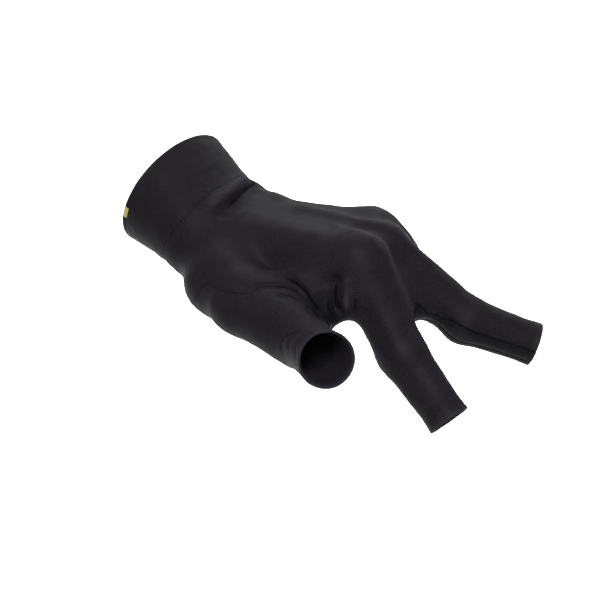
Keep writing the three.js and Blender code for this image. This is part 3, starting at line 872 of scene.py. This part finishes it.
def hem_distance(p):
    return np.clip(np.abs(past_hems(p)).min(axis=0), 0, FAR)


def painted_ridge_light_and_shade(data, faces):
    """Painted light and shade from how sharply the mesh bends outwards: highlight on ridges, shade in
    hollows and the web.
    """
    p, n = data[:, :3], data[:, 3:6]
    edges = np.unique(np.sort(edges_of(faces), axis=1), axis=0)
    a, b = edges.T
    apart = p[a] - p[b]
    bend = ((n[a] - n[b]) * apart).sum(1) / (apart**2).sum(1)
    count = np.bincount(edges.ravel(), minlength=len(p))
    value = np.bincount(edges.ravel(), weights=np.repeat(bend, 2), minlength=len(p)) / count
    for _ in range(12):
        total = value.copy()
        np.add.at(total, a, value[b])
        np.add.at(total, b, value[a])
        value = total / (count + 1)
    # Painted shade in the web between the thumb and the index finger
    painted_web_shade = 0.7 * near_spot(p, (54.0, -71.0, -10.0), 8)
    # A painted highlight on sharp ridges, a little painted shade on the rest, less the painted shade of the
    # web
    return np.clip((value - 0.06) / 0.06, -0.15, 1) - painted_web_shade


# Puckers: each point keeps how strongly the cloth is puckered there and the pucker's phase

# Beside each seam: its run, reach, pitch and strength
SEAM_PUCKERS = [
    (cuff_line, 3.4, 1.35, 0.6),
    (thumb_line, 2.2, 1.3, 0.3),
    (back_line, 1.1, 2.3, 0.2),
    (palm_line, 1.1, 2.3, 0.2),
    (side_line, 1.6, 2.4, 0.5),
]

# Slack beside the creases: centre, reach, the way the wave runs, pitch and strength
SLACK_PUCKERS = [
    ((31.0, -69.0, -5.0), 9.0, (0.1, 0.42, 0.9), 1.7, 0.45),
    ((42.0, -84.0, -8.0), 6.0, (0.9, -0.4, 0.1), 2.0, 0.3),
    ((58.0, -62.0, -4.0), 5.0, (1.0, 0.1, 0.0), 1.8, 0.5),
    ((88.6, -58.0, -8.0), 7.0, (0.6, -0.6, -0.5), 1.9, 0.5),
    ((24.0, 6.0, 15.0), 7.0, (0.7, -0.4, 0.3), 1.9, 0.5),
]


def nearest_on(run, p):
    """For each place, the number of the nearest point of a run, and how far away it is."""
    tree = KDTree(len(run))
    for k, spot in enumerate(run[:, :3]):
        tree.insert(spot, k)
    tree.balance()
    found = [tree.find(v) for v in p]
    return np.array([f[1] for f in found]), np.array([f[2] for f in found])


def puckers(p):
    rows = []
    for run, reach, pitch, weight in SEAM_PUCKERS:
        which, away = nearest_on(run, p)
        ahead = unit(np.gradient(run[:, :3], axis=0))[which]
        gone = lengths_along(run)[which] + ((p - run[which, :3]) * ahead).sum(1)
        wave = 2 * math.pi * gone / pitch + 1.4 * np.sin(gone * 0.37) + 0.9 * np.sin(gone * 0.83 + 1.0)
        wave += 0.35 * np.sin(away * 1.3 + gone * 0.2)
        rows.append((weight * bell(away, reach), wave))
    for centre, reach, way, pitch, weight in SLACK_PUCKERS:
        wave = 2 * math.pi * (p @ unit(way)) / pitch + 1.2 * np.sin(p @ np.array([0.5, 0.3, -0.4]))
        rows.append((weight * near_spot(p, centre, reach), wave))
    strengths = np.array([row[0] for row in rows])
    best = strengths.argmax(axis=0)[None]
    phases = np.array([row[1] for row in rows])
    return [np.take_along_axis(table, best, axis=0)[0] for table in (strengths, phases)]


# Finished pieces

MM = 0.001


def add_piece(name, shape, material, nodes, attributes=None):
    places, faces = shape
    mesh = bpy.data.meshes.new(name)
    mesh.vertices.add(len(places))
    mesh.vertices.foreach_set("co", (np.asarray(places) * MM).ravel())
    mesh.loops.add(faces.size)
    mesh.loops.foreach_set("vertex_index", faces.ravel())
    mesh.polygons.add(len(faces))
    mesh.polygons.foreach_set("loop_start", np.arange(0, faces.size, 3))
    mesh.update(calc_edges=True)
    mesh.polygons.foreach_set("use_smooth", np.ones(len(faces), bool))
    for key, values in (attributes or {}).items():
        mesh.attributes.new(key, "FLOAT", "POINT").data.foreach_set("value", np.asarray(values, float))
    mesh.validate()
    mesh.materials.append(material)
    piece = add_object(name, mesh)
    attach(piece, "root")
    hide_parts(*nodes)


def tube(run, radius, sides=6, flat=1.0):
    """A closed tube along a run of places and normals, with a radius at each place."""
    p, n = run[:, :3], run[:, 3:6]
    ahead = unit(np.gradient(p, axis=0))
    across = unit(np.cross(ahead, n))
    over = np.cross(across, ahead)
    radius = np.broadcast_to(radius, (len(p),))
    places = []
    for k in range(sides):
        angle = 2 * math.pi * k / sides
        way_out = across * math.cos(angle) + over * (math.sin(angle) * flat)
        places.append(p + way_out * radius[:, None])
    places = np.stack(places, axis=1).reshape(-1, 3)
    rows = np.arange(len(p) - 1)[:, None] * sides
    k = np.arange(sides)[None, :]
    a, b = rows + k, rows + (k + 1) % sides
    c, d = b + sides, a + sides
    faces = [np.stack([a, b, c], axis=-1).reshape(-1, 3), np.stack([a, c, d], axis=-1).reshape(-1, 3)]
    ends = np.arange(1, sides - 1)
    last = (len(p) - 1) * sides
    faces.append(np.stack([0 * ends, ends + 1, ends], axis=1))
    faces.append(np.stack([0 * ends + last, ends + last, ends + 1 + last], axis=1))
    return places, np.concatenate(faces)[:, ::-1]


def join(parts):
    places, faces, start = [], [], 0
    for p, f in parts:
        places.append(p)
        faces.append(f + start)
        start += len(p)
    return np.concatenate(places), np.concatenate(faces)


def across_run(run):
    """The direction in the cloth that points to one side of a run."""
    return np.cross(unit(np.gradient(run[:, :3], axis=0)), run[:, 3:6])


def zigzag(run, lift, swing, pitch, thickness):
    """A sewing thread that swings from side to side along a seam and dips at every stitch."""
    turn = 2 * math.pi * lengths_along(run) / pitch
    out = run.copy()
    out[:, :3] += across_run(run) * (swing * np.sin(turn))[:, None]
    out[:, :3] += run[:, 3:6] * (lift + 0.12 * np.cos(2 * turn))[:, None]
    return tube(out, thickness * (1 + 0.12 * np.sin(3 * turn)))


def stitches(run, lift, pitch, thickness, shift):
    """A straight row of short stitches to one side of a seam."""
    bead = np.abs(np.sin(math.pi * lengths_along(run) / pitch))
    out = run.copy()
    out[:, :3] += across_run(run) * shift + run[:, 3:6] * (lift - 0.25 * (1 - bead))[:, None]
    return tube(out, thickness * (0.55 + 0.45 * bead))


def thread_tail(run, bend, length, thickness):
    """A short loose end of thread that leaves the last stitch and curls away."""
    start, before, normal = run[-1, :3], run[-8, :3], run[-1, 3:6]
    t = np.linspace(0, 1, 14)[:, None]
    lift = 0.2 + 0.3 * np.sin(t * math.pi)
    p = start + unit(start - before) * (t * length) + np.asarray(bend) * t**2 + normal * lift
    return tube(np.hstack([p, np.tile(normal, (len(t), 1))]), thickness * (1 - 0.4 * t[:, 0]))


def thread_knot(run, place, thickness):
    """A small loop of thread that stands on a seam where two stitches meet."""
    k = int(np.linalg.norm(run[:, :3] - np.array(place), axis=1).argmin())
    spot, normal, ahead = run[k, :3], run[k, 3:6], unit(run[k + 4, :3] - run[k - 4, :3])
    across = np.cross(ahead, normal)
    angles = np.linspace(0.3, 2 * math.pi - 0.3, 18)[:, None]
    p = spot + ahead * 0.55 * np.sin(angles) + normal * (0.15 - 0.45 * np.cos(angles))
    p += across * 0.25 * np.sin(2 * angles)
    return tube(np.hstack([p, np.tile(across, (len(angles), 1))]), thickness)


# Materials

def feed(links, sockets, values):
    """Give each socket its value, or link it to the socket that its value comes from."""
    for key, value in values.items():
        if isinstance(value, bpy.types.NodeSocket):
            links.new(value, sockets[key])
        else:
            sockets[key].default_value = value


class Shading:
    """A material, with short ways to add the nodes that feed its shader."""

    def __init__(self, name):
        self.material = bpy.data.materials.new(name)
        self.material.use_nodes = True
        self.tree = self.material.node_tree

    def shade(self, values):
        feed(self.tree.links, self.tree.nodes["Principled BSDF"].inputs, values)
        return self.material

    def node(self, kind, inputs=None, output=0, **settings):
        made = self.tree.nodes.new(kind)
        for key, value in settings.items():
            setattr(made, key, value)
        feed(self.tree.links, made.inputs, inputs or {})
        return made.outputs[output]

    def calc(self, operation, *inputs):
        return self.node("ShaderNodeMath", dict(enumerate(inputs)), operation=operation)

    def along(self, vector, way):
        inputs = {0: vector, 1: tuple(way)}
        return self.node("ShaderNodeVectorMath", inputs, "Value", operation="DOT_PRODUCT")

    def noise(self, place, scale, detail=3.0, roughness=0.55):
        inputs = {"Vector": place, "Scale": scale, "Detail": detail, "Roughness": roughness}
        return self.node("ShaderNodeTexNoise", inputs)

    def bump(self, height, distance, strength, under=None):
        inputs = {"Height": height, "Distance": distance, "Strength": strength}
        if under is not None:
            inputs["Normal"] = under
        return self.node("ShaderNodeBump", inputs)

    def ramp(self, factor, stops):
        node = self.tree.nodes.new("ShaderNodeValToRGB")
        while len(node.color_ramp.elements) < len(stops):
            node.color_ramp.elements.new(0.5)
        for element, (position, color) in zip(node.color_ramp.elements, stops):
            element.position = position
            element.color = (*color, 1)
        self.tree.links.new(factor, node.inputs[0])
        return node.outputs[0]


# What each point of a panel keeps for its material
MARKS = ["pucker_strength", "pucker_phase", "slit_offset", "slit_depth"]
# The mark named last holds painted light and shade: a highlight on ridges, shade in hollows and the web
MARKS += ["seam_offset", "seam_depth", "hem_distance", "painted_ridge_light_and_shade"]

# Spacing of the knit in metres
WALE_PITCH = 0.00062
COURSE_PITCH = 0.00055


def knit_height(made, place, wale_way):
    """Wales along the hand and courses across them, both a little uneven, and a fine grain."""
    drift = made.noise(place, 260, 2.0)

    def waves(way, pitch, unevenness):
        count = made.calc("MULTIPLY", made.along(place, way), 2 * math.pi / pitch)
        return made.calc("SINE", made.calc("MULTIPLY_ADD", drift, unevenness, count))

    # Wales are counted across the hand, and by height where the cloth turns away
    across = unit(np.cross(UP, wale_way))
    normal = made.node("ShaderNodeNewGeometry", output="Normal")
    facing = made.calc("SMOOTH_MIN", made.calc("ABSOLUTE", made.along(normal, across)), 1.0, 0.1)
    two_ways = {0: facing, 2: waves(across, WALE_PITCH, 7.0), 3: waves(UP, WALE_PITCH, 7.0)}
    wales = made.node("ShaderNodeMix", two_ways, data_type="FLOAT")
    knit = made.calc("MULTIPLY_ADD", waves(wale_way, COURSE_PITCH, 9.0), 0.45, wales)
    return made.calc("MULTIPLY_ADD", made.noise(place, 1900, 2.0, 0.6), 2.2, knit)


def knit_cloth(name, dark, light, wale_way):
    """Fine warp-knit elastic cloth: its knit, a soft heather, puckers, slits and seam lines, with painted
    highlights on ridges and painted shade in slits, hollows and the web.
    """
    made = Shading(name)
    calc, noise = made.calc, made.noise
    place = made.node("ShaderNodeNewGeometry", output="Position")
    marks = {key: made.node("ShaderNodeAttribute", output="Fac", attribute_name=key) for key in MARKS}
    knit = knit_height(made, place, wale_way)

    def line(offset, middle, width):
        """A soft line, one at its middle, that the offset crosses."""
        away = calc("DIVIDE", calc("SUBTRACT", offset, middle), width)
        return calc("EXPONENT", calc("MULTIPLY", calc("MULTIPLY", away, away), -1.0))

    # Puckers, broken up so that no two are alike
    wave = calc("SINE", calc("MULTIPLY_ADD", noise(place, 330, 2.0), 3.0, marks["pucker_phase"]))
    patch = calc("MULTIPLY_ADD", noise(place, 170, 2.0), 4.0, -1.4)
    patch = calc("MINIMUM", calc("MAXIMUM", patch, 0.05), 1.0)
    pucker = calc("MULTIPLY", calc("MULTIPLY", wave, patch), marks["pucker_strength"])

    # Slits at the bottom of sharp folds, sunk and darkened with painted shade, a seam's line and the
    # stitching beside it, and hems
    slit = calc("MULTIPLY", line(marks["slit_offset"], 0.0, 0.42), marks["slit_depth"])
    beside = line(marks["seam_offset"], -1.5, 0.26)
    seam = calc("MULTIPLY_ADD", beside, 0.4, line(marks["seam_offset"], 0.0, 0.62))
    seam = calc("MULTIPLY", seam, marks["seam_depth"])
    sunk = calc("MAXIMUM", slit, seam)
    # Lighter along each hem: a fuzzy worn cut edge, and a painted highlight on the rolled edge
    hem = line(marks["hem_distance"], 0.0, 1.1)

    bumps = made.bump(noise(place, 95), 0.0005, 0.35)
    bumps = made.bump(pucker, 0.00016, 1.0, bumps)
    bumps = made.bump(calc("MULTIPLY", sunk, -1.0), 0.0004, 1.0, bumps)
    bumps = made.bump(knit, 0.00004, 0.55, bumps)

    heather = noise(place, 1300, 3.0, 0.6)
    shade = calc("SUBTRACT", calc("MULTIPLY_ADD", knit, 0.07, heather), 0.11)
    for value, share in (
        (noise(place, 60, 2.0, 0.5), 0.22),
        # Painted light and shade on the puckers: their crests lighter, their hollows darker
        (pucker, 0.12),
        # Lighter hems: worn edge and painted highlight
        (hem, 0.5),
        # Painted highlight on ridges, painted shade in hollows and in the web
        (marks["painted_ridge_light_and_shade"], 0.7),
        # Painted shade in the slits, and the dark lines of the seams
        (sunk, -0.9),
    ):
        shade = calc("MULTIPLY_ADD", value, share, shade)
    # The deepest stop is reached by the painted shade of the slits and the dark seam lines
    deepest = [0.1 * v for v in dark]
    # The lightest stop is reached by the painted highlight on ridges
    lightest = [1.3 * v for v in light]
    return made.shade({
        "Base Color": made.ramp(shade, [(0.0, deepest), (0.34, dark), (0.85, light), (1.0, lightest)]),
        "Normal": bumps,
        "Roughness": calc("MULTIPLY_ADD", heather, 0.18, 0.46),
        "Specular IOR Level": 0.06,
        "Sheen Weight": 0.03,
        "Sheen Roughness": 0.5,
        "Sheen Tint": (0.62, 0.58, 0.68, 1),
    })


def thread(name, dark, light, twist, sheen):
    """Twisted sewing thread: fine slanting plies and a slight sheen."""
    made = Shading(name)
    place = made.node("ShaderNodeNewGeometry", output="Position")
    fuzz = made.noise(place, 1400)
    slant = made.calc("MULTIPLY", made.along(place, unit([0.6, 0.45, 0.66])), 2 * math.pi / twist)
    plies = made.calc("SINE", made.calc("MULTIPLY_ADD", fuzz, 4.0, slant))
    shade = made.calc("MULTIPLY_ADD", plies, 0.25, fuzz)
    return made.shade({
        "Base Color": made.ramp(shade, [(0.25, dark), (0.8, light)]),
        "Normal": made.bump(plies, 0.00005, 0.9),
        "Roughness": made.calc("MULTIPLY_ADD", fuzz, 0.2, 0.45),
        "Specular IOR Level": 0.12,
        "Sheen Weight": sheen,
        "Sheen Roughness": 0.4,
    })


hand_way = heading(HAND_YAW, 0)
cuff_way = heading(FOREARM_YAW, FOREARM_PITCH)
black_knit = knit_cloth("black_knit", (0.0062, 0.0054, 0.007), (0.0145, 0.0127, 0.0164), hand_way)
cuff_knit = knit_cloth("cuff_knit", (0.0057, 0.005, 0.0065), (0.0133, 0.0116, 0.0151), cuff_way)
strip_knit = knit_cloth("strip_knit", (0.0052, 0.0046, 0.0058), (0.012, 0.0105, 0.0135), hand_way)
black_thread = thread("black_thread", (0.003, 0.0028, 0.0033), (0.01, 0.0092, 0.011), 0.0006, 0.02)
yellow_thread = thread("yellow_thread", (0.26, 0.22, 0.05), (0.55, 0.49, 0.16), 0.0005, 0.3)


# Cloth panels, each cut a little short of its seams so that its rounded edge meets them

def panel(name, sides, node, cloth):
    """The part of the skin on the given side of each seam, as a closed sheet of cloth."""
    data, faces = skin
    for column, side in sides.items():
        data, faces = clip(data, faces, side * data[:, column] - SEAM_EDGE)
    data, faces = largest(data, faces)
    marks = [*puckers(data[:, :3]), *slit_lines(data), *seam_lines(data)]
    # The last mark is a painted highlight on ridges and painted shade in hollows and the web
    marks += [hem_distance(data[:, :3]), painted_ridge_light_and_shade(data, faces)]
    places, made, extra = shell(np.hstack([data[:, :6], np.stack(marks, axis=1)]), faces)
    add_piece(name, (places, made), cloth, [node], dict(zip(MARKS, extra.T)))


panel("cuff_cloth", {CUFF: 1}, "cuff", cuff_knit)
panel("hand_cloth", {CUFF: -1, THUMB: -1, STRIP: -1}, "hand_shell", black_knit)
panel("thumb_cloth", {THUMB: 1}, "thumb_sheath", black_knit)
panel("gusset_cloth", {STRIP: 1}, "finger_gusset", strip_knit)


# Threads of the seams

KNOT_PLACE = (122.1, -43.5, -17.9)

cuff_thread = zigzag(cuff_line, lift=-0.45, swing=0.3, pitch=1.7, thickness=0.17)
thumb_thread = zigzag(thumb_line, lift=-0.45, swing=0.2, pitch=1.6, thickness=0.16)
palm_thread = zigzag(palm_line, lift=-0.25, swing=0.35, pitch=1.9, thickness=0.2)
back_run = back_line if back_line[0, 1] < back_line[-1, 1] else back_line[::-1]
back_thread = join([
    stitches(back_run, lift=-0.18, pitch=1.9, thickness=0.24, shift=0.42),
    stitches(back_run, lift=-0.18, pitch=1.9, thickness=0.24, shift=-0.42),
    zigzag(back_run, lift=-0.35, swing=0.42, pitch=1.9, thickness=0.13),
    thread_tail(back_run, bend=(0.2, -0.4, -0.4), length=1.3, thickness=0.26),
])
side_thread = join([
    zigzag(side_line, lift=-0.05, swing=0.4, pitch=1.9, thickness=0.24),
    thread_knot(side_line, KNOT_PLACE, thickness=0.24),
])
for name, sewn, node in (
    ("cuff_seam_thread", cuff_thread, "cuff_seam"),
    ("thumb_seam_thread", thumb_thread, "thumb_seam"),
    ("gusset_back_thread", back_thread, "gusset_back_seam"),
    ("gusset_palm_thread", palm_thread, "gusset_palm_seam"),
    ("side_seam_thread", side_thread, "middle_side_seam"),
):
    add_piece(name, sewn, black_thread, [node])


# The bar of satin stitches beside the cuff's end

def on_skin(p, way):
    """The places where lines that come in against a direction meet the surface, and its normals."""
    for _ in range(60):
        d = hand_field(p)
        if np.abs(d).max() < 1e-4:
            break
        p = p - way * d[:, None]
    return p, unit(slope(hand_field, p))


TAB_STITCHES = 11
tab_out = forearm.side
tab_around = np.cross(forearm.along, tab_out)
tab_middle = cuff_end - forearm.along * CUFF_WIDTH * 0.19 + tab_out * WRIST_WIDTH * 0.75
t = np.linspace(-1, 1, 9)[:, None]
bars = []
for u in np.linspace(-0.5, 0.5, TAB_STITCHES) * (TAB_LENGTH - 0.4):
    spot, normal = on_skin(tab_middle + tab_around * u + forearm.along * t * TAB_WIDTH / 2, tab_out)
    bars.append(tube(np.hstack([spot + normal * 0.32 * (1 - t**4), normal]), 0.25, sides=8, flat=0.8))
add_piece("wrist_tab_stitches", join(bars), yellow_thread, ["wrist_tab"])


# Stage: a pale plain floor under the held-up glove, a pale world and soft studio lights

FLOOR_HEIGHT = -0.5
PALE = (0.85, 0.85, 0.85, 1)
GLOVE_MIDDLE = (0.05, -0.03, 0)

floor_mesh = bpy.data.meshes.new("floor")
floor_mesh.from_pydata([(-6, -6, 0), (6, -6, 0), (6, 6, 0), (-6, 6, 0)], [], [(0, 1, 2, 3)])
floor = add_object("floor", floor_mesh)
floor.location = (0, 0, FLOOR_HEIGHT)
floor_mesh.materials.append(Shading("pale_floor").shade({"Base Color": PALE, "Roughness": 0.9}))

world = bpy.data.worlds.new("pale_world")
world.use_nodes = True
world.node_tree.nodes["Background"].inputs["Color"].default_value = (1, 1, 1, 1)
world.node_tree.nodes["Background"].inputs["Strength"].default_value = 0.62
bpy.context.scene.world = world


def soft_light(name, location, target, size, power, spread=180):
    data = bpy.data.lights.new(name, "AREA")
    data.shape = "DISK"
    data.size = size
    data.energy = power
    data.spread = math.radians(spread)
    lamp = add_object(name, data)
    lamp.location = location
    lamp.rotation_euler = (Vector(target) - Vector(location)).to_track_quat("-Z", "Y").to_euler()


soft_light("key_light", (0, -0.8, 0.9), GLOVE_MIDDLE, size=0.6, power=14.3)
soft_light("rim_light", (0.35, 1, 0.6), GLOVE_MIDDLE, size=0.5, power=2.4)
# The floor behind the glove is lit until it is as white as the world
soft_light("floor_light", (0.05, 1.35, 0.9), (0.05, 1.35, 0), size=1.2, power=26, spread=110)
bpy.context.scene.view_settings.view_transform = "Standard"

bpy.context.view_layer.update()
